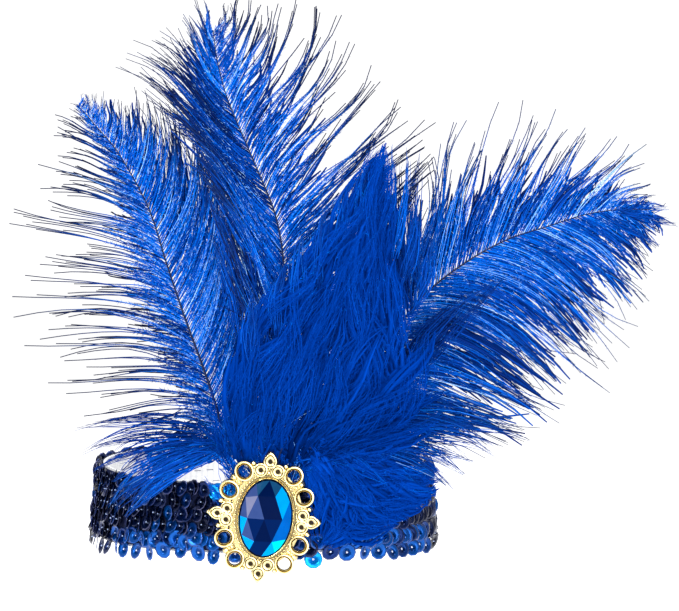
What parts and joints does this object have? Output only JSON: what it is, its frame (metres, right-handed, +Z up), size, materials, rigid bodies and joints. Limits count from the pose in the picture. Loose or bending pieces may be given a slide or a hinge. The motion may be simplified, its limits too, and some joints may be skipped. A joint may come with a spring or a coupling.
{
  "type": "showgirl feather headdress",
  "caption": "Sequinned stretch headband with three ostrich plumes, marabou tufts and a pierced gold brooch that holds an oval blue stone.",
  "frame": {"origin": "middle of the head opening, level with the band's lower edge at the front", "axes": "+Z up out of the crown of the head, -Y out of the forehead towards the brooch, +X towards the wearer's left"},
  "size_m": [0.2267, 0.1941, 0.1959],
  "materials": {
    "elastic": "pale knitted elastic",
    "sequins": "metallic navy sequins",
    "felt": "navy felt",
    "gold": "bright pale gold plate",
    "stone": "foil-backed faceted acrylic",
    "plumage": "dyed ostrich feather",
    "marabou": "dyed marabou down"
  },
  "bodies": {
    "root": {"band_base": "elastic", "sequin_facing": "sequins", "mount_pad": "felt", "brooch_setting": "gold", "stone": "stone", "plume_left": "plumage", "plume_centre": "plumage", "plume_right": "plumage", "marabou_centre": "marabou", "marabou_right": "marabou"}
  },
  "joints": []
}
